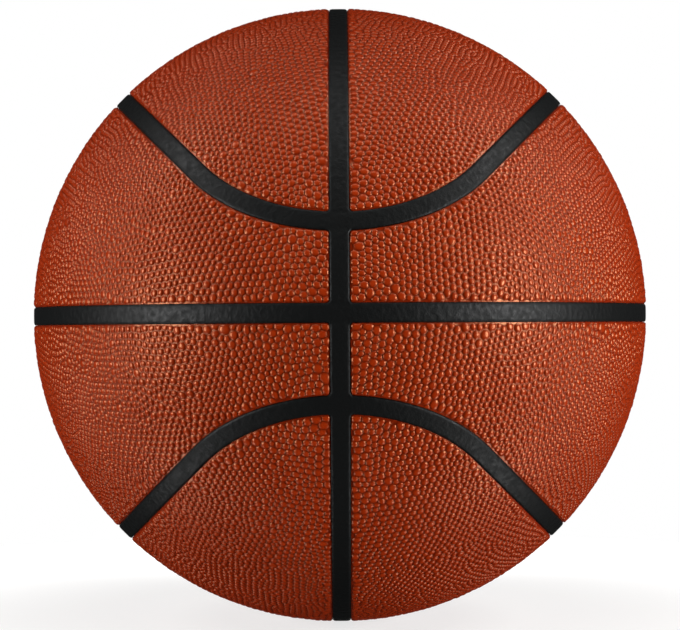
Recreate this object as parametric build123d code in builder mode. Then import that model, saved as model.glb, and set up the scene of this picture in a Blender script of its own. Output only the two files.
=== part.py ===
from build123d import *
import os
from math import atan2, cos, pi, radians, sin, sqrt

# Basketball of the eight-panel kind. From the inside out it is an air bladder with its valve, a thread
# winding, a rubber carcass in two halves, and a cover of eight leather panels with black rubber strips
# laid in the channels between them.
# The origin is the centre of the ball and +Z is up. The channel crossing that faces the viewer is at
# -Y, and the valve is in the opposite crossing, at +Y. Lengths are in millimetres, angles in degrees.

# Outside of the ball
ball_circumference = 755.0

# Channels: the meridian and the equator are great circles, and a loop runs above and below the equator
channel_width = 7.0
loop_rise = 32.0            # along the surface, from the equator to a loop where it crosses the meridian
loop_side_angle = 45.0      # above the horizon, where a loop passes the side of the ball

# Layers
panel_thickness = 1.5
carcass_wall = 1.2
winding_wall = 0.5
bladder_wall = 0.8
bond_line = 0.1             # cement between one layer and the next

# Panels
panel_corner = 1.2          # rounding of a panel's corners, seen from outside
panel_edge = 0.6            # rounding of the outer edge

# Strips
strip_clearance = 0.1       # between the side of a strip and the panel beside it
strip_drop = 0.25           # top of a strip below the surface of the ball
strip_shoulder = 0.9        # rounding of a strip's upper edges
strip_arm = 1.5             # straight part of the short arms at each crossing

# Valve
needle_diameter = 2.0
needle_clearance = 0.03     # round the inflating needle
needle_depth = 15.0
core_wall = 0.65            # round the needle hole
core_tip = 4.0              # below the needle hole
core_clearance = 0.03       # round the core, which pulls out
head_overhang = 0.4         # of the core's head past its shank
head_height = 1.2
head_clearance = 0.05       # round the head
slit_length = 1.6
slit_width = 0.2
neck_wall = 0.5             # round the core's head
neck_clearance = 0.1        # round the neck, in each layer that it passes
valve_drop = 0.2            # rim of the neck below the top of the strip
housing_wall = 4.8          # round the core
housing_overrun = 1.0       # past the core's tip
flange_width = 7.5          # past the housing's wall
flange_thickness = 1.6

# Radii that follow from those sizes, from the surface inward
ball_radius = ball_circumference / (2 * pi)
bed_radius = ball_radius - panel_thickness
carcass_radius = bed_radius - bond_line
winding_radius = carcass_radius - carcass_wall - bond_line
bladder_radius = winding_radius - winding_wall - bond_line
flange_radius = bladder_radius - bladder_wall - bond_line
cover_middle = (bed_radius + ball_radius) / 2
cut_margin = panel_thickness            # how far a cut runs past the cover

strip_radius = ball_radius - strip_drop
strip_width = channel_width - 2 * strip_clearance
strip_corner = panel_corner + strip_clearance
arm_end = strip_width / 2 + strip_corner + strip_arm

# Directions of the loops. An arc of a small circle at the front joins, without a kink, an arc of a
# great circle at the side, and both are mirrored to the other side and to the back.
centre = (0, 0, 0)
loop_angle = loop_rise / ball_radius
side_angle = radians(loop_side_angle)
tilt = atan2(sin(loop_angle), cos(loop_angle) - cos(side_angle))
front_axis = Vector(0, -cos(tilt), sin(tilt))
side_axis = Vector(-sin(side_angle), 0, cos(side_angle))
loop_front = Vector(0, -cos(loop_angle), sin(loop_angle))
loop_side = Vector(cos(side_angle), 0, sin(side_angle))
loop_join = (front_axis - side_axis * front_axis.dot(side_axis)).normalized()
across_front = Vector(0, sin(loop_angle), cos(loop_angle))
front_arc = front_axis.cross(loop_front).get_angle(front_axis.cross(loop_join))
side_arc = loop_join.get_angle(loop_side)

# Each sphere is turned so that its poles and its seam lie clear of the pieces cut from it, or run
# through the valve's hole
seam_below_left = (0, 135, 0)
seam_to_valve = (0, 0, 90)

# The valve's axis runs outward along +Y. Radii grow from the needle hole outward, and heights are
# distances from the centre of the ball.
valve_plane = Plane(origin=centre, x_dir=(1, 0, 0), z_dir=(0, 1, 0))
needle_radius = needle_diameter / 2 + needle_clearance
core_radius = needle_radius + core_wall
core_bore = core_radius + core_clearance
head_radius = core_radius + head_overhang
head_bore = head_radius + head_clearance
neck_radius = head_bore + neck_wall
passage_radius = neck_radius + neck_clearance
housing_radius = core_bore + housing_wall
flange_rim = housing_radius + flange_width

valve_rim = strip_radius - valve_drop
head_seat = valve_rim - head_height
needle_end = valve_rim - needle_depth
core_end = needle_end - core_tip
housing_end = core_end - housing_overrun


def section_plane(point, across):
    """Plane square to a channel at a point on it: x runs across the channel and y outward."""
    return Plane(origin=centre, x_dir=across, z_dir=across.cross(point))


def quarter_shell(inner_radius, outer_radius, side_cut):
    """Upper right quarter of a shell, starting some way from the meridian and from the equator."""
    with BuildPart() as quarter:
        Sphere(outer_radius, rotation=seam_below_left)
        Sphere(inner_radius, rotation=seam_below_left, mode=Mode.SUBTRACT)
        split(bisect_by=Plane.YZ.offset(side_cut), keep=Keep.TOP)
        split(bisect_by=Plane.XY.offset(side_cut), keep=Keep.TOP)
    return quarter.part


def loop_band(width):
    """Right half of the upper loop as a band of one width, deep enough to cut through the cover."""
    depth = panel_thickness + 4 * cut_margin
    with BuildPart() as band:
        with BuildSketch(section_plane(loop_front, across_front)):
            with Locations((0, cover_middle)):
                Rectangle(width, depth)
        revolve(axis=Axis(centre, front_axis), revolution_arc=front_arc)
        with BuildSketch(section_plane(loop_join, side_axis)):
            with Locations((0, cover_middle)):
                Rectangle(width, depth)
        revolve(axis=Axis(centre, side_axis), revolution_arc=side_arc)
        mirror(about=Plane.XZ)
    return band.part


def is_corner(edge, width):
    """Whether an edge runs through the cover at a corner of a field, beside the meridian."""
    start, end = (Vector(vertex).length for vertex in edge.vertices())
    return abs(start - end) > panel_thickness / 2 and edge.center().X < width


def cover_fields(inner_radius, outer_radius, width, corner):
    """The band and the cap that channels of one width leave of a quarter, with rounded corners."""
    with BuildPart() as fields:
        add(quarter_shell(inner_radius, outer_radius, width / 2))
        add(loop_band(width), mode=Mode.SUBTRACT)
        fillet(fields.edges().filter_by(lambda edge: is_corner(edge, width)), corner)
    return fields.solids().sort_by(Axis.Z)


def quarters(piece):
    """The upper right piece and its mirror images, with the words for where each lies."""
    for side in ("right", "left"):
        for half in ("upper", "lower"):
            with BuildPart() as copy:
                add(piece)
                if side == "left":
                    mirror(about=Plane.YZ, mode=Mode.REPLACE)
                if half == "lower":
                    mirror(about=Plane.XY, mode=Mode.REPLACE)
            yield side, half, copy.part


def save(piece, name):
    """Label a finished piece and write its file."""
    piece.label = name
    export_step(piece, f"parts/{name}.step")


os.makedirs("parts", exist_ok=True)

# Cover: a leather shell parted by the channels into eight panels, each with its outer edge rounded
band_field, cap_field = cover_fields(bed_radius, ball_radius, channel_width, panel_corner)
for level, field in (("band", band_field), ("cap", cap_field)):
    with BuildPart() as panel:
        add(field)
        outer_face = panel.faces().filter_by(GeomType.SPHERE).sort_by(SortBy.AREA)[-1]
        fillet(outer_face.edges(), min(panel_edge, panel_thickness - bond_line))
    for side, half, piece in quarters(panel.part):
        save(piece, f"{half}_{level}_{side}")

# Strips: what the panels leave between them, with rounded shoulders. One ring goes round the meridian
# unbroken, with a short arm at each crossing, and the other strips end against the arms.
with BuildPart() as strips:
    add(quarter_shell(bed_radius, strip_radius, 0))
    for field in cover_fields(bed_radius - cut_margin, ball_radius, strip_width, strip_corner):
        add(field, mode=Mode.SUBTRACT)
    outer_face = strips.faces().filter_by(GeomType.SPHERE).sort_by(SortBy.AREA)[-1]
    rims = outer_face.edges().filter_by(lambda edge: min(edge.center().X, edge.center().Z) > strip_width / 4)
    fillet(rims, min(strip_shoulder, strip_radius - bed_radius - bond_line))

with BuildPart() as meridian_strip:
    add(strips.part)
    split(bisect_by=Plane.YZ.offset(arm_end), keep=Keep.BOTTOM)
    mirror(about=Plane.YZ)
    mirror(about=Plane.XY)
    with BuildSketch(valve_plane):
        Circle(passage_radius)
    extrude(amount=ball_radius, mode=Mode.SUBTRACT)
save(meridian_strip.part, "meridian_strip")

with BuildPart() as side_strips:
    add(strips.part)
    split(bisect_by=Plane.YZ.offset(arm_end), keep=Keep.TOP)
half_equator_strip, loop_strip = side_strips.solids().sort_by(Axis.Z)

for side, half, piece in quarters(loop_strip):
    save(piece, f"{half}_loop_strip_{side}")

with BuildPart() as equator_strip_right:
    add(half_equator_strip)
    mirror(about=Plane.XY)
save(equator_strip_right.part, "equator_strip_right")

with BuildPart() as equator_strip_left:
    mirror(equator_strip_right.part, about=Plane.YZ)
save(equator_strip_left.part, "equator_strip_left")

# Carcass: a sponge rubber shell in two halves that meet in the plane of the ball's sides
with BuildPart() as carcass_front:
    Sphere(carcass_radius, rotation=seam_to_valve)
    Sphere(carcass_radius - carcass_wall, rotation=seam_to_valve, mode=Mode.SUBTRACT)
    split(bisect_by=valve_plane, keep=Keep.BOTTOM)
save(carcass_front.part, "carcass_front")

with BuildPart() as carcass_rear:
    Sphere(carcass_radius, rotation=seam_to_valve)
    Sphere(carcass_radius - carcass_wall, rotation=seam_to_valve, mode=Mode.SUBTRACT)
    split(bisect_by=valve_plane, keep=Keep.TOP)
    with BuildSketch(valve_plane):
        Circle(passage_radius)
    extrude(amount=ball_radius, mode=Mode.SUBTRACT)
save(carcass_rear.part, "carcass_rear")

# Winding: nylon thread in a layer too fine to part into turns, as a shell with a hole at the valve
with BuildPart() as thread_winding:
    Sphere(winding_radius, rotation=seam_to_valve)
    Sphere(winding_radius - winding_wall, rotation=seam_to_valve, mode=Mode.SUBTRACT)
    with BuildSketch(valve_plane):
        Circle(passage_radius)
    extrude(amount=ball_radius, mode=Mode.SUBTRACT)
save(thread_winding.part, "thread_winding")

# Bladder: a butyl rubber shell that holds the air
with BuildPart() as bladder:
    Sphere(bladder_radius, rotation=seam_to_valve)
    Sphere(bladder_radius - bladder_wall, rotation=seam_to_valve, mode=Mode.SUBTRACT)
    with BuildSketch(valve_plane):
        Circle(passage_radius)
    extrude(amount=ball_radius, mode=Mode.SUBTRACT)
save(bladder.part, "bladder")

# Valve housing: a rubber seat turned about the valve's axis. Its flange is cemented to the inside of
# the bladder, its neck comes up through every layer, and the core sits in its bore.
flange_middle = (flange_rim + neck_radius) / 2
flange_rim_top = sqrt(flange_radius**2 - flange_rim**2)
flange_middle_top = sqrt(flange_radius**2 - flange_middle**2)
flange_neck_top = sqrt(flange_radius**2 - neck_radius**2)
flange_under = flange_rim_top - flange_thickness

with BuildPart() as valve_housing:
    with BuildSketch(Plane.XY):
        with BuildLine():
            ThreePointArc(
                (flange_rim, flange_rim_top),
                (flange_middle, flange_middle_top),
                (neck_radius, flange_neck_top),
            )
            Polyline(
                (neck_radius, flange_neck_top),
                (neck_radius, valve_rim),
                (head_bore, valve_rim),
                (head_bore, head_seat),
                (core_bore, head_seat),
                (core_bore, housing_end),
                (housing_radius, housing_end),
                (housing_radius, flange_under),
                (flange_rim, flange_under),
                (flange_rim, flange_rim_top),
            )
        make_face()
    revolve(axis=Axis.Y)
save(valve_housing.part, "valve_housing")

# Valve core: a rubber plug with a head that seats in the rim. The needle goes down its hole and parts
# the slit in its tip.
with BuildPart() as valve_core:
    with BuildSketch(valve_plane.offset(core_end)):
        Circle(core_radius)
    extrude(amount=valve_rim - core_end)
    with BuildSketch(valve_plane.offset(head_seat)):
        Circle(head_radius)
    extrude(amount=head_height)
    with BuildSketch(valve_plane.offset(needle_end)):
        Circle(needle_radius)
    extrude(amount=needle_depth, mode=Mode.SUBTRACT)
    with BuildSketch(valve_plane.offset(core_end)):
        Rectangle(slit_length, slit_width)
    extrude(amount=core_tip, mode=Mode.SUBTRACT)
save(valve_core.part, "valve_core")
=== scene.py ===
from itertools import combinations

import bmesh
import bpy
import numpy as np
from mathutils import Euler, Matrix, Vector
from mathutils.geometry import delaunay_2d_cdt


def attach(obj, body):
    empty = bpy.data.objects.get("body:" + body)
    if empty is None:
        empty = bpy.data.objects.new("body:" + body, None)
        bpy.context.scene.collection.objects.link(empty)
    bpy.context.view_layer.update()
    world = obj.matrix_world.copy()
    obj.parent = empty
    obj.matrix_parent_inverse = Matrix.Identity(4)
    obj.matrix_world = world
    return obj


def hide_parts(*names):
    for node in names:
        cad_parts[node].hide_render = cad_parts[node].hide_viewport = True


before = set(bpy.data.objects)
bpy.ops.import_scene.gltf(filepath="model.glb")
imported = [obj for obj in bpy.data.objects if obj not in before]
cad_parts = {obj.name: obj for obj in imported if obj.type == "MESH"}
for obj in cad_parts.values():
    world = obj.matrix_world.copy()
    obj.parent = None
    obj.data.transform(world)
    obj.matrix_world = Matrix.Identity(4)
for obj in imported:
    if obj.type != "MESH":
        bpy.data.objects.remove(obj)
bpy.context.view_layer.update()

# Basketball of the eight-panel kind, built from the air bladder outward. Lengths are in metres. The
# crossing of the channels that faces the camera is at -Y, and the valve is in the opposite one, at +Y.


# Bladder
# The balloon that holds the air, moulded from black butyl rubber and cured as one piece. It is cemented
# to the winding round it, and never shows on a whole ball.
def linear(colour):
    """Linear colour for a shader's socket from an sRGB hex value."""
    levels = (int(colour[place:place + 2], 16) / 255 for place in (1, 3, 5))
    return (*(c / 12.92 if c <= 0.04045 else ((c + 0.055) / 1.055) ** 2.4 for c in levels), 1.0)


def add(tree, kind, settings={}, inputs={}):
    """Add a node to a tree, with its settings, and set its inputs or link them to other nodes."""
    node = tree.nodes.new(kind)
    for name, value in settings.items():
        setattr(node, name, value)
    for name, value in inputs.items():
        if isinstance(value, bpy.types.NodeSocket):
            tree.links.new(value, node.inputs[name])
        else:
            node.inputs[name].default_value = value
    return node


def bare_material(name):
    """A material with no nodes yet, and its tree."""
    material = bpy.data.materials.new(name)
    material.use_nodes = True
    material.node_tree.nodes.clear()
    return material, material.node_tree


def coat(names, material):
    """Give carried-over nodes their material."""
    for name in names:
        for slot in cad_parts[name].material_slots:
            slot.material = material


# Moulded butyl: near black, with the faint orange peel of a blown skin
butyl, tree = bare_material("butyl_rubber_moulded")
place = add(tree, "ShaderNodeTexCoord")
peel = add(tree, "ShaderNodeTexNoise", inputs={"Vector": place.outputs["Object"], "Scale": 1 / 0.0015})
shade = add(tree, "ShaderNodeMix", {"data_type": "RGBA"},
            {0: peel.outputs["Fac"], 6: linear("#131416"), 7: linear("#232527")})
relief = add(tree, "ShaderNodeBump",
             inputs={"Height": peel.outputs["Fac"], "Strength": 0.3, "Distance": 0.0002})
surface = add(tree, "ShaderNodeBsdfPrincipled",
              inputs={"Base Color": shade.outputs[2], "Roughness": 0.5, "Normal": relief.outputs["Normal"]})
add(tree, "ShaderNodeOutputMaterial", inputs={"Surface": surface.outputs["BSDF"]})
coat(["bladder"], butyl)


# Thread winding
# Nylon thread wound round the bladder in every direction and fixed with latex, so that the ball stays
# round. It lies between the bladder and the carcass.
thread_spacing = 0.0012         # drawn twice as coarse as the thread, so that single turns show

nylon, tree = bare_material("nylon_thread_in_latex")
place = add(tree, "ShaderNodeTexCoord")
heights = []
for turn in ((0.3, 0.2, 0.5), (1.2, 0.9, 2.2)):
    laid = add(tree, "ShaderNodeMapping", inputs={"Vector": place.outputs["Object"], "Rotation": turn})
    heights.append(add(tree, "ShaderNodeTexWave", inputs={
        "Vector": laid.outputs["Vector"], "Scale": 0.314 / thread_spacing, "Distortion": 1.5,
        "Detail Scale": 0.3}))
crossing = add(tree, "ShaderNodeMath", {"operation": "MAXIMUM"},
               {0: heights[0].outputs["Fac"], 1: heights[1].outputs["Fac"]})
# Painted shade: darker where the thread lies low between the turns
shade = add(tree, "ShaderNodeMix", {"data_type": "RGBA"},
            {0: crossing.outputs["Value"], 6: linear("#7D7460"), 7: linear("#DAD3BF")})
relief = add(tree, "ShaderNodeBump",
             inputs={"Height": crossing.outputs["Value"], "Strength": 0.6, "Distance": 0.0004})
surface = add(tree, "ShaderNodeBsdfPrincipled",
              inputs={"Base Color": shade.outputs[2], "Roughness": 0.55, "Normal": relief.outputs["Normal"]})
add(tree, "ShaderNodeOutputMaterial", inputs={"Surface": surface.outputs["BSDF"]})
coat(["thread_winding"], nylon)


# Carcass
# Two half shells of black sponge rubber, moulded over the winding. The panels and the strips are
# cemented to it, and only the crevices beside the strips give a glimpse of it.
pore = 0.0009

sponge, tree = bare_material("sponge_rubber")
place = add(tree, "ShaderNodeTexCoord")
pores = add(tree, "ShaderNodeTexVoronoi", inputs={"Vector": place.outputs["Object"], "Scale": 1 / pore})
# Painted shade: darker towards the middle of each pore, where the bump sinks it into a pit
shade = add(tree, "ShaderNodeMix", {"data_type": "RGBA"},
            {0: pores.outputs["Distance"], 6: linear("#0C0C0C"), 7: linear("#1E1D1B")})
relief = add(tree, "ShaderNodeBump",
             inputs={"Height": pores.outputs["Distance"], "Strength": 0.5, "Distance": 0.0003})
surface = add(tree, "ShaderNodeBsdfPrincipled",
              inputs={"Base Color": shade.outputs[2], "Roughness": 0.8, "Normal": relief.outputs["Normal"]})
add(tree, "ShaderNodeOutputMaterial", inputs={"Surface": surface.outputs["BSDF"]})
coat(["carcass_front", "carcass_rear"], sponge)


# Cover panels
# Eight panels of composite leather, die-cut and cemented to the carcass. Their face is embossed with
# close-packed round pebbles, and the cut edge is rolled over where it meets the channel.
ball_radius = 0.755 / (2 * np.pi)
bed_radius = ball_radius - 0.0015
channel_width = 0.007
panel_corner = 0.0012
panel_rise = {"cap": np.radians(67), "band": np.radians(25)}     # a panel's middle above or below the equator
pebble_pitch = 0.00253
pebble_scatter = 0.205          # how far the rows are broken up, as a share of the pitch
settling_rounds = 5
pebble_height = 0.00076
height_spread = 0.25            # the lowest pebbles are this much lower than the highest
pebble_inset = 0.00022          # from the cut edge to the outermost pebbles
# Rolled edge: distance in from the cut edge, and depth below the highest pebbles
rolled_edge = ((0.00017, 0.00074), (0.00011, 0.00073), (0.00006, 0.00076), (0.00002, 0.00084), (0.0, 0.00097))
rolled_step = 0.0008
rolled_edge_crown = 0.6               # height share given to the edge: little of the painted valley shade, so nearly as light as the pebbles' tops
underside_step = 0.008

# The loops: an arc of a small circle about an axis at the front, then a great circle at the side
loop_angle = 0.032 / ball_radius
side_angle = np.radians(45)
tilt = np.arctan2(np.sin(loop_angle), np.cos(loop_angle) - np.cos(side_angle))
small_angle = tilt - loop_angle
front_axis = np.array((0, -np.cos(tilt), np.sin(tilt)))
side_axis = np.array((-np.sin(side_angle), 0, np.cos(side_angle)))
arc_change = np.cross(front_axis, side_axis)


def unit(vectors):
    """The vectors at length one."""
    return vectors / np.linalg.norm(vectors, axis=-1, keepdims=True)


def off_channels(points):
    """Distances along the surface from the meridian, the equator and the loops, counted into the caps."""
    folded = np.abs(unit(points)) * (1, -1, 1)
    meridian = np.arcsin(np.clip(folded[..., 0], -1, 1))
    equator = np.arcsin(np.clip(folded[..., 2], -1, 1))
    front = small_angle - np.arccos(np.clip(folded @ front_axis, -1, 1))
    side = np.arcsin(np.clip(folded @ side_axis, -1, 1))
    return ball_radius * np.stack((meridian, equator, np.where(folded @ arc_change > 0, front, side)))


def inside_panel(points, level):
    """Distance in from the edge of a cap or a band, whose corners are rounded."""
    along, equator, loop = off_channels(points) - channel_width / 2
    across = loop if level == "cap" else np.minimum(equator, -loop - channel_width)
    nearest = np.minimum(along, across)
    rounded = panel_corner - np.hypot(np.maximum(panel_corner - along, 0),
                                      np.maximum(panel_corner - across, 0))
    return np.where(nearest < panel_corner, rounded, nearest)


def panel_centre(level, right, up):
    """The way to a panel's middle; right and up are 1 or -1."""
    rise = panel_rise[level]
    return np.array((right * np.cos(rise), 0, up * np.sin(rise)))


def in_panel(points, level, centre, inset):
    """Which points lie in one panel, some way in from its edge."""
    return ((inside_panel(points, level) > inset) & (points[:, 0] * centre[0] > 0)
            & (points[:, 2] * centre[2] > 0) & ((off_channels(points)[2] > 0) == (level == "cap")))


def moved_inward(points, level, distance):
    """Points moved straight in from a panel's edge, or out into the channel."""
    step = 1e-5
    slope = np.stack([inside_panel(points + step * axis, level) - inside_panel(points - step * axis, level)
                      for axis in np.eye(3)], -1)
    return unit(points + unit(slope) * distance / ball_radius)


def flat(points, centre):
    """Points of the ball on a plane that touches it at the centre, with small shapes kept true."""
    length = np.array((0, 1, 0))
    return np.stack((points @ np.cross(length, centre), points @ length), -1) / (1 + points @ centre)[:, None]


def triangles(points, centre, rim=0, inner=0):
    """Triangles between points of the ball, facing out. The first points may make an outline round them, and
    the next ones an inner outline that is left open."""
    places = flat(points, centre)
    lines = [(place, (place + 1) % rim) for place in range(rim)]
    lines += [(rim + place, rim + (place + 1) % inner) for place in range(inner)]
    made = np.array(delaunay_2d_cdt([Vector(place) for place in places], lines, [], 1 if rim else 0, 1e-9)[2])
    if inner:
        middle = places[made].mean(1)[:, None]
        line, ahead = places[rim:rim + inner], np.roll(places[rim:rim + inner], -1, 0)
        passed = (line[:, 1] > middle[..., 1]) != (ahead[:, 1] > middle[..., 1])
        slope = (ahead[:, 0] - line[:, 0]) / np.where(ahead[:, 1] == line[:, 1], 1, ahead[:, 1] - line[:, 1])
        passed &= middle[..., 0] < line[:, 0] + slope * (middle[..., 1] - line[:, 1])
        made = made[passed.sum(1) % 2 == 0]
    return made


def panel_outline(level, centre, inset):
    """Points close together along a line at one distance in from a panel's edge, counter-clockwise."""
    # rays leave a line along the middle of a band squarely, and its ends, or the middle of a cap, in fans
    count, half = (2000, np.radians(70)) if level == "band" else (0, 0.0)
    run = np.linspace(-half, half, count, endpoint=False)
    fan = np.linspace(0, np.pi, 4000, endpoint=False)
    along = np.concatenate((run, np.full(len(fan), half), -run, np.full(len(fan), -half)))[:, None]
    turn = np.concatenate((np.zeros(count), fan, np.full(count, np.pi), fan + np.pi))[:, None]
    length = np.array((0, 1, 0))
    start = np.cos(along) * centre + np.sin(along) * length
    way = (np.cos(turn) * np.cross(length, centre)
           + np.sin(turn) * (np.cos(along) * length - np.sin(along) * centre))
    near, far = np.zeros_like(turn), np.full_like(turn, 2.2)
    for _ in range(40):
        middle = (near + far) / 2
        points = np.cos(middle) * start + np.sin(middle) * way
        inside = in_panel(points, level, centre, inset)[:, None]
        near, far = np.where(inside, middle, near), np.where(inside, far, middle)
    return np.cos(near) * start + np.sin(near) * way


def spaced(points, step, bend=10.0):
    """Points along a closed line at about one step from each other, closer where it bends."""
    ahead = np.roll(points, -1, 0) - points
    length = np.linalg.norm(ahead, axis=1)
    heading = unit(ahead)
    turned = np.arccos(np.clip(np.sum(heading * np.roll(heading, 1, 0), 1), -1, 1))
    measure = np.concatenate(((0,), np.cumsum(length / step + turned / bend)))
    marks = np.linspace(0, measure[-1], int(round(measure[-1])), endpoint=False)
    closed = np.vstack((points, points[:1]))
    return unit(np.stack([np.interp(marks, measure, closed[:, axis]) for axis in range(3)], -1))


def lattice(step):
    """Points spread evenly over the ball in rows that cross at 60 degrees, about one step from each other."""
    golden = (1 + np.sqrt(5)) / 2
    corners = unit(np.array([np.roll((0, one, other * golden), shift)
                             for shift in range(3) for one in (-1, 1) for other in (-1, 1)]))
    beside = corners @ corners.T > 0.4
    sides = [trio for trio in combinations(range(12), 3)
             if all(beside[pair] for pair in combinations(trio, 2))]
    count = int(round(np.sqrt(4 * np.pi / (10 * np.sqrt(0.75))) * ball_radius / step))
    shares = np.array([(one, other, count - one - other)
                       for one in range(count + 1) for other in range(count + 1 - one)]) / count
    points = np.vstack([np.sin(shares * np.arccos(5**-0.5)) @ corners[list(trio)] for trio in sides])
    return np.unique(unit(points).round(7), axis=0)


def pebble_cells(level, centre, seed):
    """Corners of the pebbles as points of the ball, and the numbers of those that go round each pebble."""
    chance = np.random.default_rng(seed)
    beyond = spaced(panel_outline(level, centre, -0.4 * pebble_pitch), 0.9 * pebble_pitch / ball_radius, 0.7)
    middles = lattice(pebble_pitch) @ np.array(Euler(chance.uniform(0, 2 * np.pi, 3)).to_matrix())
    middles = unit(middles + chance.normal(0, pebble_scatter * pebble_pitch / ball_radius, middles.shape))
    middles = np.vstack((beyond, middles[in_panel(middles, level, centre, 0.45 * pebble_pitch)]))
    for _ in range(settling_rounds):
        corners = triangles(middles, centre, len(beyond))
        total, share = np.zeros_like(middles), np.zeros(len(middles))
        for shift in (1, 2):
            np.add.at(total, corners, middles[np.roll(corners, shift, 1)])
            np.add.at(share, corners, 1)
        relaxed = unit(0.4 * middles + 0.6 * total / share[:, None])
        middles[len(beyond):] = relaxed[len(beyond):]
    corners = triangles(middles, centre, len(beyond))
    meetings = unit(middles[corners].mean(1))
    ways = flat(meetings, centre)[:, None] - flat(middles, centre)[corners]
    order = np.lexsort((np.arctan2(ways[..., 1], ways[..., 0]).ravel(), corners.ravel()))
    owner, meeting = corners.ravel()[order], order // 3
    cells = np.split(meeting, np.flatnonzero(np.diff(owner)) + 1)[len(beyond):]
    kept, places = np.unique(np.concatenate(cells), return_inverse=True)
    meetings = meetings[kept]
    short = np.maximum(pebble_inset - inside_panel(meetings, level), 0)[:, None]
    meetings = np.where(short > 0, moved_inward(meetings, level, short), meetings)
    return meetings, np.split(places, np.cumsum([len(cell) for cell in cells])[:-1])


# Composite leather: a microfibre sheet with a dyed polyurethane skin, embossed hot. The valleys are painted
# darker as shade, the tops shine a little more, the gloss is tinted warm, and a fine grain breaks it up.
leather, tree = bare_material("composite_leather_embossed")
place = add(tree, "ShaderNodeTexCoord")
crown = add(tree, "ShaderNodeAttribute", {"attribute_name": "crown"})
tone = add(tree, "ShaderNodeAttribute", {"attribute_name": "tone"})
cloud = add(tree, "ShaderNodeTexNoise",
            inputs={"Vector": place.outputs["Object"], "Scale": 1 / 0.03, "Detail": 3.0})
grain = add(tree, "ShaderNodeTexNoise",
            inputs={"Vector": place.outputs["Object"], "Scale": 1 / 0.0004, "Detail": 2.0})
batch = add(tree, "ShaderNodeMix", {"data_type": "FLOAT"},
            {0: 0.4, 2: tone.outputs["Fac"], 3: cloud.outputs["Fac"]})
top_dye = add(tree, "ShaderNodeMix", {"data_type": "RGBA"},
              {0: batch.outputs[0], 6: linear("#842204"), 7: linear("#942B08")})
# Painted shade: the colour is mixed towards a darker red low in the valleys, by the pebbles' height share
# (crown)
dye_and_painted_valley_shade = add(tree, "ShaderNodeMix", {"data_type": "RGBA"},
          {0: crown.outputs["Fac"], 6: linear("#601402"), 7: top_dye.outputs[2]})
gloss = add(tree, "ShaderNodeMapRange",
            inputs={"Value": crown.outputs["Fac"], "To Min": 0.29, "To Max": 0.25})
relief = add(tree, "ShaderNodeBump",
             inputs={"Height": grain.outputs["Fac"], "Strength": 0.12, "Distance": 0.00006})
surface = add(tree, "ShaderNodeBsdfPrincipled", inputs={
    "Base Color": dye_and_painted_valley_shade.outputs[2], "Roughness": gloss.outputs["Result"], "IOR": 1.57,
    "Specular Tint": linear("#FFB47C"), "Normal": relief.outputs["Normal"]})
add(tree, "ShaderNodeOutputMaterial", inputs={"Surface": surface.outputs["BSDF"]})

# Embossing: each cell of a sheet rises in rings to a rounded top, small ones less than large ones
embossing = bpy.data.node_groups.new("pebble_embossing", "GeometryNodeTree")
for name, kind in (("Cells", "NodeSocketGeometry"), ("Pebble pitch", "NodeSocketFloat"),
                   ("Pebble height", "NodeSocketFloat"), ("Height spread", "NodeSocketFloat"),
                   ("Seed", "NodeSocketInt"), ("Finish", "NodeSocketMaterial")):
    embossing.interface.new_socket(name, in_out="INPUT", socket_type=kind)
embossing.interface.new_socket("Panel", in_out="OUTPUT", socket_type="NodeSocketGeometry")
given = add(embossing, "NodeGroupInput")
area = add(embossing, "GeometryNodeInputMeshFaceArea")
across = add(embossing, "ShaderNodeMath", {"operation": "SQRT"}, {0: area.outputs["Area"]})
fullness = add(embossing, "ShaderNodeMath", {"operation": "DIVIDE", "use_clamp": True},
               {0: across.outputs["Value"], 1: given.outputs["Pebble pitch"]})
chance = add(embossing, "FunctionNodeRandomValue", {"data_type": "FLOAT"},
             {2: 0.0, 3: 1.0, "Seed": given.outputs["Seed"]})
lower = add(embossing, "ShaderNodeMath", {"operation": "MULTIPLY"},
            {0: chance.outputs[1], 1: given.outputs["Height spread"]})
height_left = add(embossing, "ShaderNodeMath", {"operation": "SUBTRACT"}, {0: 1.0, 1: lower.outputs["Value"]})
stand = add(embossing, "ShaderNodeMath", {"operation": "MULTIPLY"},
            {0: fullness.outputs["Value"], 1: height_left.outputs["Value"]})
rise = add(embossing, "ShaderNodeMath", {"operation": "MULTIPLY"},
           {0: stand.outputs["Value"], 1: given.outputs["Pebble height"]})
mesh = add(embossing, "GeometryNodeStoreNamedAttribute", {"data_type": "FLOAT", "domain": "FACE"},
           {"Geometry": given.outputs["Cells"], "Name": "rise", "Value": rise.outputs["Value"]})
mesh = add(embossing, "GeometryNodeStoreNamedAttribute", {"data_type": "FLOAT", "domain": "FACE"},
           {"Geometry": mesh.outputs["Geometry"], "Name": "tone", "Value": chance.outputs[1]})
own_rise = add(embossing, "GeometryNodeInputNamedAttribute", {"data_type": "FLOAT"}, {"Name": "rise"})
top = None
reached = (1.0, 0.0)
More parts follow.
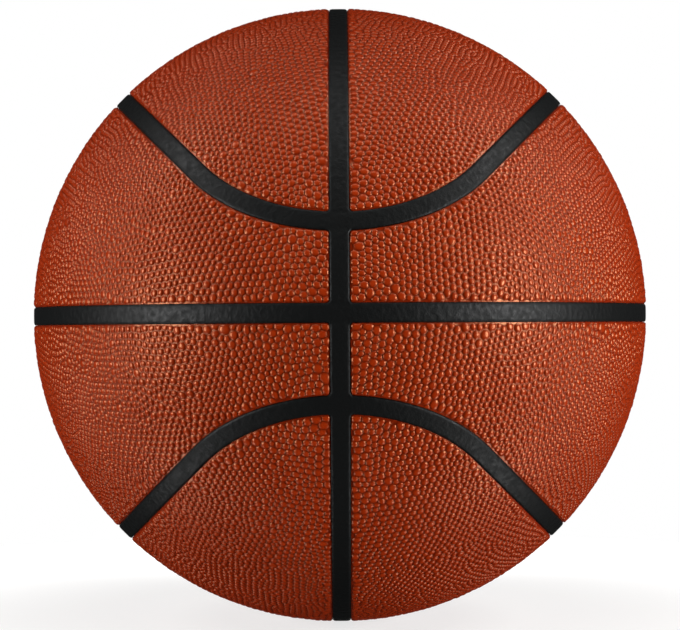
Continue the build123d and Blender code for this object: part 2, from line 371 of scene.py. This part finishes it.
for ring in ((0.83, 0.46), (0.6, 0.81), (0.34, 0.97)):
    lift = add(embossing, "ShaderNodeMath", {"operation": "MULTIPLY"},
               {0: own_rise.outputs["Attribute"], 1: ring[1] - reached[1]})
    raised = add(embossing, "GeometryNodeExtrudeMesh", {"mode": "FACES"}, {
        "Mesh": mesh.outputs["Geometry"], "Selection": top or True,
        "Offset Scale": lift.outputs["Value"], "Individual": True})
    top = raised.outputs["Top"]
    drawn_in = add(embossing, "GeometryNodeScaleElements", {"domain": "FACE", "scale_mode": "UNIFORM"}, {
        "Geometry": raised.outputs["Mesh"], "Selection": top, "Scale": ring[0] / reached[0]})
    # crown: the share of a pebble's height, which the leather reads for its gloss and for its painted valley
    # shade
    mesh = add(embossing, "GeometryNodeStoreNamedAttribute", {"data_type": "FLOAT", "domain": "POINT"}, {
        "Geometry": drawn_in.outputs["Geometry"], "Selection": top, "Name": "crown", "Value": ring[1]})
    reached = ring
smooth = add(embossing, "GeometryNodeSetShadeSmooth", inputs={"Geometry": mesh.outputs["Geometry"]})
real = add(embossing, "GeometryNodeRealizeInstances", inputs={"Geometry": smooth.outputs["Geometry"]})
faced = add(embossing, "GeometryNodeSetMaterial",
            inputs={"Geometry": real.outputs["Geometry"], "Material": given.outputs["Finish"]})
add(embossing, "NodeGroupOutput", inputs={"Panel": faced.outputs["Geometry"]})


def walk(edges):
    """Vertices of one closed line of edges, in order."""
    after = {}
    for edge in edges:
        for vertex in edge.verts:
            after.setdefault(vertex, []).append(edge.other_vert(vertex))
    start = next(iter(after))
    line, previous = [start], None
    while True:
        following = next(vertex for vertex in after[line[-1]] if vertex is not previous)
        if following is start:
            return line
        previous = line[-1]
        line.append(following)


def close_panel(shape, level, centre):
    """Add the rolled edge, the cut side and the underside to an embossed face."""
    tops = shape.verts.layers.float["crown"]
    border = walk([edge for edge in shape.edges if edge.is_boundary])
    around = spaced(panel_outline(level, centre, 0), rolled_step / ball_radius, np.radians(15))
    rings = []
    for inset, depth in rolled_edge + ((0.0, ball_radius - bed_radius),):
        ring = moved_inward(around, level, inset) if inset else around
        rings.append([shape.verts.new(point) for point in ring * (ball_radius - depth)])
        # The rolled edge's height share sets its gloss and how much painted valley shade it gets
        for vertex in rings[-1]:
            vertex[tops] = rolled_edge_crown
    made = []
    # between the outermost pebbles and the rolled edge
    loose = rings[0] + border
    points = unit(np.array([vertex.co for vertex in loose]))
    for corners in triangles(points, centre, len(rings[0]), len(border)):
        made.append(shape.faces.new([loose[corner] for corner in corners]))
    # round the rolled edge and down the cut side
    for inner, outer in zip(rings, rings[1:]):
        for place in range(len(inner)):
            made.append(shape.faces.new((inner[place - 1], outer[place - 1], outer[place], inner[place])))
    # underside
    inner = lattice(underside_step)
    inner = inner[in_panel(inner, level, centre, underside_step / 3)]
    loose = rings[-1] + [shape.verts.new(point) for point in inner * bed_radius]
    points = unit(np.array([vertex.co for vertex in loose]))
    for corners in triangles(points, centre, len(rings[-1])):
        made.append(shape.faces.new([loose[corner] for corner in reversed(corners)]))
    for face in made:
        face.smooth = True
    for place, vertex in enumerate(rings[-1]):
        shape.edges.get((vertex, rings[-1][place - 1])).smooth = False


seed = 0
for level in panel_rise:
    for half, up in (("upper", 1), ("lower", -1)):
        for side, right in (("left", -1), ("right", 1)):
            seed += 1
            node = f"{half}_{level}_{side}"
            centre = panel_centre(level, right, up)
            points, cells = pebble_cells(level, centre, seed)
            sheet = bpy.data.meshes.new(node + "_sheet")
            sheet.from_pydata((points * (ball_radius - pebble_height)).tolist(), [],
                              [cell.tolist() for cell in cells])
            panel = bpy.data.objects.new(node + "_leather", sheet)
            bpy.context.scene.collection.objects.link(panel)
            emboss = panel.modifiers.new("emboss", "NODES")
            emboss.node_group = embossing
            values = {"Pebble pitch": pebble_pitch, "Pebble height": pebble_height,
                      "Height spread": height_spread, "Seed": seed, "Finish": leather}
            for socket in embossing.interface.items_tree:
                if socket.name in values:
                    emboss[socket.identifier] = values[socket.name]
            embossed = bpy.data.meshes.new_from_object(
                panel.evaluated_get(bpy.context.evaluated_depsgraph_get()))
            panel.modifiers.remove(emboss)
            shape = bmesh.new()
            shape.from_mesh(embossed)
            close_panel(shape, level, centre)
            shape.to_mesh(embossed)
            shape.free()
            panel.data = embossed
            embossed.name = panel.name
            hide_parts(node)
            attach(panel, "ball")


# Channel strips
# Black rubber strips laid in the channels between the panels and cemented down: one ring over the top
# and bottom with short arms at the crossings, halves round the equator, and halves along the loops.
strip_clearance = 0.0001
strip_half = channel_width / 2 - strip_clearance
strip_radius = ball_radius - 0.00025
shoulder_width = 0.0012
shoulder_drop = 0.0005
arm_end = strip_half + panel_corner + strip_clearance + 0.0015
tongue_start = 0.003            # from the middle of a crossing to where the ring's ridge begins
tongue_corner = 0.0016
groove_width = 0.0009
groove_depth = 0.00022
valve_hole = 0.00273
valve_hole_rim = 0.00012        # how far the hole's edge is pressed in
strip_step = 0.0012             # between the rows of points along a strip
ring_step = 0.0008              # between the points along the ring's face, and across it
ring_row = 0.0007
ring_edge_step = 0.0009
shoulder_turns = np.radians((90, 72, 54, 36, 18, 0))
shoulder_steps = shoulder_width * (1 - np.sin(shoulder_turns))

loop_front = np.array((0, -np.cos(loop_angle), np.sin(loop_angle)))
loop_side = np.array((np.cos(side_angle), 0, np.sin(side_angle)))
loop_join = unit(front_axis - side_axis * (front_axis @ side_axis))
from_axis = unit(loop_front - front_axis * np.cos(small_angle))
front_turn = np.arctan2(loop_join[0], loop_join @ from_axis)
front_length = front_turn * np.sin(small_angle)
loop_length = 2 * (front_length + np.arccos(loop_join @ loop_side))


def equator_line(along):
    """Points of the right half of the equator from front to back, and the way across it."""
    points = np.sin(along)[..., None] * (1, 0, 0) - np.cos(along)[..., None] * (0, 1, 0)
    return points, np.broadcast_to((0.0, 0, 1), points.shape)


def loop_line(along):
    """Points of the right half of the upper loop from front to back, and the way across it."""
    near = np.minimum(along, loop_length - along)[..., None]
    turn = near / np.sin(small_angle)
    front = front_axis * np.cos(small_angle) + np.sin(small_angle) * (
        np.cos(turn) * from_axis + np.sin(turn) * np.array((1, 0, 0)))
    side = (np.cos(near - front_length) * loop_join
            + np.sin(near - front_length) * np.cross(side_axis, loop_join))
    points = np.where(near < front_length, front, side)
    across = np.where(near < front_length,
                      (front_axis - front * np.cos(small_angle)) / np.sin(small_angle), side_axis)
    mirror = np.where(along[..., None] > loop_length / 2, (1, -1, 1), (1, 1, 1))
    return points * mirror, across * mirror


def shoulder(inside):
    """How far a strip's face lies below its top, at a distance in from its side."""
    out = np.clip(1 - inside / shoulder_width, 0, 1)
    return shoulder_drop * (1 - np.sqrt(1 - out**2))


def laid_strip(line, length):
    """Rows of points round a strip, from one arm of the ring to the other."""
    top = np.linspace(-1, 1, 5)[1:-1] * (strip_half - shoulder_width)
    face = np.concatenate((shoulder_steps - strip_half, top, (strip_half - shoulder_steps)[::-1]))
    face_radius = strip_radius - shoulder(strip_half - np.abs(face))
    under = np.linspace(strip_half, -strip_half, 5)
    offset = np.concatenate((face, under)) / ball_radius
    radius = np.concatenate((face_radius, np.full(5, bed_radius)))

    def placed(along):
        middle, across = line(along)
        return radius[:, None] * (np.cos(offset)[:, None] * middle + np.sin(offset)[:, None] * across)

    low, high = np.zeros_like(offset), np.full_like(offset, 0.2)
    for _ in range(40):
        start = (low + high) / 2
        short = placed(start)[..., 0] < arm_end
        low, high = np.where(short, start, low), np.where(short, high, start)
    steps = np.linspace(0, 1, int(length * ball_radius / strip_step))[:, None]
    return placed(start + (length - 2 * start) * steps), len(face)


def tube(rows, around, closed=False):
    """Faces between rows of points that go round a piece; a closed tube comes back to its first row."""
    number = np.arange(rows * around).reshape(rows, around)
    after = np.roll(number, -1, 0)
    faces = np.stack((number, after, np.roll(after, -1, 1), np.roll(number, -1, 1)), -1)
    return (faces if closed else faces[:-1]).reshape(-1, 4).tolist()


def solid_piece(name, points, faces, node, material, body="ball"):
    """A closed piece of rubber in place of a node."""
    mesh = bpy.data.meshes.new(name)
    mesh.from_pydata(points.tolist(), [], faces)
    shape = bmesh.new()
    shape.from_mesh(mesh)
    bmesh.ops.recalc_face_normals(shape, faces=shape.faces)
    for face in shape.faces:
        face.smooth = True
    for edge in shape.edges:
        edge.smooth = edge.calc_face_angle(0) < 0.8
    shape.to_mesh(mesh)
    shape.free()
    mesh.materials.append(material)
    piece = bpy.data.objects.new(name, mesh)
    bpy.context.scene.collection.objects.link(piece)
    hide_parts(node)
    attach(piece, body)


# Channel rubber: black, pressed and vulcanised, with a satin face that is mottled and softly wavy
channel_rubber, tree = bare_material("channel_rubber_satin")
place = add(tree, "ShaderNodeTexCoord")
mottle = add(tree, "ShaderNodeTexNoise",
             inputs={"Vector": place.outputs["Object"], "Scale": 1 / 0.002, "Detail": 2.0})
grain = add(tree, "ShaderNodeTexNoise",
            inputs={"Vector": place.outputs["Object"], "Scale": 1 / 0.0005, "Detail": 2.0})
patches = add(tree, "ShaderNodeMapRange",
              inputs={"Value": mottle.outputs["Fac"], "From Min": 0.35, "From Max": 0.65})
shade = add(tree, "ShaderNodeMix", {"data_type": "RGBA"},
            {0: patches.outputs["Result"], 6: linear("#010202"), 7: linear("#0C0D0D")})
gloss = add(tree, "ShaderNodeMapRange",
            inputs={"Value": patches.outputs["Result"], "To Min": 0.58, "To Max": 0.42})
waves = add(tree, "ShaderNodeBump",
            inputs={"Height": mottle.outputs["Fac"], "Strength": 0.4, "Distance": 0.0006})
relief = add(tree, "ShaderNodeBump", inputs={
    "Height": grain.outputs["Fac"], "Strength": 0.35, "Distance": 0.0001, "Normal": waves.outputs["Normal"]})
surface = add(tree, "ShaderNodeBsdfPrincipled", inputs={
    "Base Color": shade.outputs[2], "Roughness": gloss.outputs["Result"], "Specular IOR Level": 0.16,
    "Normal": relief.outputs["Normal"]})
add(tree, "ShaderNodeOutputMaterial", inputs={"Surface": surface.outputs["BSDF"]})

arm_lines = []
for kind, line, length, halves in (("equator", equator_line, np.pi, (("", 1),)),
                                   ("loop", loop_line, loop_length, (("upper_", 1), ("lower_", -1)))):
    rows, face_count = laid_strip(line, length)
    count, around = rows.shape[:2]
    faces = tube(count, around) + [list(range(around)), list(range((count - 1) * around, count * around))]
    for half, up in halves:
        for side, right in (("left", -1), ("right", 1)):
            node = f"{half}{kind}_strip_{side}"
            solid_piece(node + "_rubber", rows.reshape(-1, 3) * (right, 1, up), faces, node,
                        channel_rubber)
            arm_lines += [unit(rows[end, :face_count]) * (right, 1, up) for end in (0, -1)]


def inside_strips(points):
    """Distance in from the sides of the strips."""
    return -np.maximum(inside_panel(points, "cap"), inside_panel(points, "band")) - strip_clearance


def off_valve(points):
    """Distance from the valve's axis for points at the back, and far off for the others."""
    return np.where(points[:, 1] > 0, strip_radius * np.hypot(points[:, 0], points[:, 2]), 1)


# The ring: points along its sides and shoulders, over its face, at the ends of its arms and round the
# valve's hole, joined by triangles that are then laid on the face, the underside and the sides
ring_points = list(arm_lines)
for level in panel_rise:
    for up in (1, -1):
        for right in (1, -1):
            centre = panel_centre(level, right, up)
            edge = spaced(panel_outline(level, centre, -strip_clearance), ring_edge_step / ball_radius, 0.25)
            edge = edge[np.abs(edge[:, 0]) * strip_radius < arm_end + 0.001]
            for step in shoulder_steps:
                line = moved_inward(edge, level, -step) if step else edge
                ring_points.append(line[np.abs(line[:, 0]) * strip_radius < arm_end - 0.0003])
around, across = np.meshgrid(np.arange(0, 2 * np.pi, ring_step / ball_radius),
                             np.arange(-8, 9) * ring_row / ball_radius)
face = np.stack((np.sin(across), np.cos(across) * np.cos(around), np.cos(across) * np.sin(around)), -1)
face = face.reshape(-1, 3)
ring_points.append(face[(inside_strips(face) > shoulder_width + 0.0003)
                        & (off_valve(face) > valve_hole + 0.0005)
                        & (np.abs(face[:, 0]) * strip_radius < arm_end - 0.0004)])
turn = np.linspace(0, 2 * np.pi, 48, endpoint=False)
for reach in (valve_hole, valve_hole + 0.0002):
    circle = np.stack((reach * np.cos(turn), np.full(len(turn), strip_radius), reach * np.sin(turn)), -1)
    ring_points.append(unit(circle))
points = np.vstack(ring_points)
corners = triangles(points, np.array((1.0, 0, 0)))
middles = unit(points[corners].mean(1))
corners = corners[(inside_strips(middles) > -1e-6) & (off_valve(middles) > valve_hole * 0.998)
                  & (np.abs(middles[:, 0]) * strip_radius < arm_end)]

# Height of the face: rounded shoulders along the sides, and at each crossing a shallow groove on both
# sides, round the ends of the ridge
inside = np.maximum(inside_strips(points), 0)
meridian, equator, loop = off_channels(points)
past = np.minimum(np.abs(loop), equator) - tongue_start
side = strip_half - meridian
tongue = np.where((side < tongue_corner) & (past < tongue_corner),
                  tongue_corner - np.hypot(tongue_corner - side, tongue_corner - past),
                  np.minimum(side, past))
groove = groove_depth * np.clip(1 - np.where(past > 0, tongue, -past) / groove_width, 0, 1) ** 2
groove *= np.clip(side / 0.001, 0, 1)
hole = np.where(off_valve(points) < valve_hole + 0.0001, valve_hole_rim, 0)
face_radius = strip_radius - np.maximum(shoulder(inside), groove) - hole
count = len(points)
sides = np.vstack((corners, np.roll(corners, 1, 1), np.roll(corners, 2, 1)))[:, :2]
known = set(map(tuple, sides.tolist()))
walls = [(one, other, other + count, one + count) for one, other in known if (other, one) not in known]
faces = corners.tolist() + (corners[:, ::-1] + count).tolist() + walls
solid_piece("meridian_strip_rubber", np.vstack((points * face_radius[:, None], points * bed_radius)), faces,
            "meridian_strip", channel_rubber)


# Valve
# A rubber seat cemented inside the bladder, whose neck comes up through the crossing at the back, and a
# plug in it that takes the inflating needle and pulls out. Both are moulded, and their edges are rounded.
needle_hole = 0.00103
core_shank = 0.00168
core_head = 0.00208
core_bore = 0.00171
head_bore = 0.00213
neck = 0.00263
seat_wall = 0.00651
flange_rim = 0.01401
flange_thickness = 0.0016
flange_radius = bed_radius - 0.0029     # the inside of the bladder
valve_rim = strip_radius - 0.0002
head_seat = valve_rim - 0.0012
needle_end = valve_rim - 0.015
core_end = needle_end - 0.004
seat_end = core_end - 0.001
slit_half = 0.0008
slit_half_width = 0.0001
valve_turn = np.linspace(0, 2 * np.pi, 64, endpoint=False)


def flange_top(reach):
    """Height of the flange's upper side at a distance from the valve's axis."""
    return np.sqrt(flange_radius**2 - reach**2)


def moulded(corners):
    """Rows of points round the valve's axis, from the corners of a section (reach, height, rounding)."""
    places = np.array([corner[:2] for corner in corners])
    line = []
    for number, (*_, rounding) in enumerate(corners):
        here = places[number]
        start = here + rounding * unit(places[number - 1] - here)
        end = here + rounding * unit(places[(number + 1) % len(corners)] - here)
        for share in np.linspace(0, 1, 5 if rounding else 1):
            line.append((1 - share)**2 * start + 2 * share * (1 - share) * here + share**2 * end)
    reach, height = np.array(line).T[..., None]
    return np.stack((reach * np.cos(valve_turn), height + 0 * valve_turn, reach * np.sin(valve_turn)), -1)


# Moulded natural rubber: black, with a faint bloom
valve_rubber, tree = bare_material("natural_rubber_moulded")
place = add(tree, "ShaderNodeTexCoord")
bloom = add(tree, "ShaderNodeTexNoise", inputs={"Vector": place.outputs["Object"], "Scale": 1 / 0.0008})
shade = add(tree, "ShaderNodeMix", {"data_type": "RGBA"},
            {0: bloom.outputs["Fac"], 6: linear("#0B0C0C"), 7: linear("#1C1D1E")})
relief = add(tree, "ShaderNodeBump",
             inputs={"Height": bloom.outputs["Fac"], "Strength": 0.2, "Distance": 0.0001})
surface = add(tree, "ShaderNodeBsdfPrincipled", inputs={
    "Base Color": shade.outputs[2], "Roughness": 0.5, "Specular IOR Level": 0.3,
    "Normal": relief.outputs["Normal"]})
add(tree, "ShaderNodeOutputMaterial", inputs={"Surface": surface.outputs["BSDF"]})

flange_under = flange_top(flange_rim) - flange_thickness
seat_rows = moulded([
    (flange_rim, flange_under, 0.0005), (flange_rim, flange_top(flange_rim), 0.0005),
    *((reach, flange_top(reach), 0) for reach in np.linspace(0.0125, 0.0035, 7)),
    (neck, flange_top(neck), 0), (neck, valve_rim, 0.00018), (head_bore, valve_rim, 0.0001),
    (head_bore, head_seat, 0), (core_bore, head_seat, 0.0001), (core_bore, seat_end, 0.0003),
    (seat_wall, seat_end, 0.0009), (seat_wall, flange_under, 0)])
core_rows = moulded([
    (core_shank, core_end, 0.0003), (core_shank, head_seat, 0), (core_head, head_seat, 0.0001),
    (core_head, valve_rim, 0.00018), (needle_hole, valve_rim, 0.0003), (needle_hole, needle_end, 0),
    (slit_half, needle_end, 0), (slit_half, core_end, 0)])
core_rows[-2:, :, 2] *= slit_half_width / slit_half
for node, rows, body in (("valve_housing", seat_rows, "ball"), ("valve_core", core_rows, "valve_core")):
    solid_piece(node + "_rubber", rows.reshape(-1, 3), tube(*rows.shape[:2], closed=True), node,
                valve_rubber, body)


# Studio
# The ball rests on a disc of opal glass, white to the camera except for its shadow. Soft boxes stand in
# front of it on both sides, with weaker ones high and low at the sides and above, and one behind it.
floor_radius = 0.34

floor_mesh = bpy.data.meshes.new("floor")
shape = bmesh.new()
bmesh.ops.create_circle(shape, cap_ends=True, segments=96, radius=floor_radius)
shape.to_mesh(floor_mesh)
shape.free()
for vertex in floor_mesh.vertices:
    vertex.co.z = -ball_radius
floor = bpy.data.objects.new("floor", floor_mesh)
bpy.context.scene.collection.objects.link(floor)

# Opal glass over a light box: white to the camera but for the shadow, and lamps below it shine through
opal_glass, tree = bare_material("opal_glass_matt")
ray = add(tree, "ShaderNodeLightPath")
place = add(tree, "ShaderNodeTexCoord")
out = add(tree, "ShaderNodeVectorMath", {"operation": "LENGTH"}, {0: place.outputs["Object"]})
lift = add(tree, "ShaderNodeMapRange", {"interpolation_type": "SMOOTHSTEP"}, {
    "Value": out.outputs["Value"], "From Min": 0.16, "From Max": 0.3, "To Min": 0.74, "To Max": 1.0})
matt = add(tree, "ShaderNodeBsdfDiffuse", inputs={"Color": linear("#8A8A88")})
glow = add(tree, "ShaderNodeEmission", inputs={"Strength": lift.outputs["Result"]})
both = add(tree, "ShaderNodeAddShader", inputs={0: matt.outputs["BSDF"], 1: glow.outputs["Emission"]})
clear = add(tree, "ShaderNodeBsdfTransparent")
seen = add(tree, "ShaderNodeMixShader",
           inputs={0: ray.outputs["Is Camera Ray"], 1: clear.outputs["BSDF"], 2: both.outputs["Shader"]})
add(tree, "ShaderNodeOutputMaterial", inputs={"Surface": seen.outputs["Shader"]})
floor_mesh.materials.append(opal_glass)

world = bpy.data.worlds.new("studio")
world.use_nodes = True
world.node_tree.nodes.clear()
bpy.context.scene.world = world
tree = world.node_tree
ray = add(tree, "ShaderNodeLightPath")
way = add(tree, "ShaderNodeTexCoord")
axes = add(tree, "ShaderNodeSeparateXYZ", inputs={"Vector": way.outputs["Generated"]})
behind = add(tree, "ShaderNodeMapRange", {"interpolation_type": "SMOOTHSTEP"}, {
    "Value": axes.outputs["Y"], "From Min": 0.95, "From Max": 0.998, "To Max": 0.45})
shown = add(tree, "ShaderNodeMath", {"operation": "MAXIMUM"},
            {0: ray.outputs["Is Glossy Ray"], 1: ray.outputs["Is Transmission Ray"]})
mirrored = add(tree, "ShaderNodeMath", {"operation": "MULTIPLY"},
               {0: shown.outputs["Value"], 1: behind.outputs["Result"]})
white = add(tree, "ShaderNodeMath", {"operation": "MAXIMUM"},
            {0: ray.outputs["Is Camera Ray"], 1: mirrored.outputs["Value"]})
strength = add(tree, "ShaderNodeMapRange",
               inputs={"Value": white.outputs["Value"], "To Min": 0.015, "To Max": 1.0})
sky = add(tree, "ShaderNodeBackground",
          inputs={"Color": linear("#FFFFFF"), "Strength": strength.outputs["Result"]})
add(tree, "ShaderNodeOutputWorld", inputs={"Surface": sky.outputs["Background"]})


def soft_box(name, azimuth, elevation, distance, width, height, watts):
    """An area light that faces the ball; azimuth 0 is the camera's side and 90 the right."""
    lamp = bpy.data.lights.new(name, "AREA")
    lamp.shape, lamp.size, lamp.size_y, lamp.energy = "RECTANGLE", width, height, watts
    box = bpy.data.objects.new(name, lamp)
    bpy.context.scene.collection.objects.link(box)
    turn, up = np.radians(azimuth), np.radians(elevation)
    box.location = distance * Vector((np.sin(turn) * np.cos(up), -np.cos(turn) * np.cos(up), np.sin(up)))
    box.rotation_euler = box.location.to_track_quat("Z", "Y").to_euler()


for side, right, turned, share in (("left", -1, 64, 0.95), ("right", 1, 62, 1.22)):
    soft_box(f"soft_box_{side}", right * turned, 2, 1.6, 0.5, 0.9, 26 * share)
    soft_box(f"soft_box_{side}_high", right * 78, 46, 1.6, 0.5, 0.6, 9 * share)
    soft_box(f"soft_box_{side}_low", right * 78, -46, 1.6, 0.5, 0.6, 7 * share)
soft_box("soft_box_above", 0, 73, 1.6, 1.0, 0.7, 6.5)
soft_box("soft_box_behind", 180, 0, 1.6, 0.4, 0.4, 22)

# The photograph is taken from seven radii away and hardly lower than the middle of the ball
image_width = 680
ball_in_image = 306.6           # pixels from the ball's middle to its outline
view_radii = 7
view_drop, view_roll = np.radians((0.37, 0.35))
camera = bpy.data.cameras.new("camera")
camera.sensor_width = 36.0
camera.lens = camera.sensor_width * ball_in_image * np.sqrt(view_radii**2 - 1) / image_width
eye = bpy.data.objects.new("camera", camera)
eye.location = view_radii * ball_radius * Vector((0, -np.cos(view_drop), -np.sin(view_drop)))
eye.rotation_euler = Euler((np.pi / 2 + view_drop, view_roll, 0))
bpy.context.scene.collection.objects.link(eye)
bpy.context.scene.camera = eye
bpy.context.scene.view_settings.view_transform = "Standard"
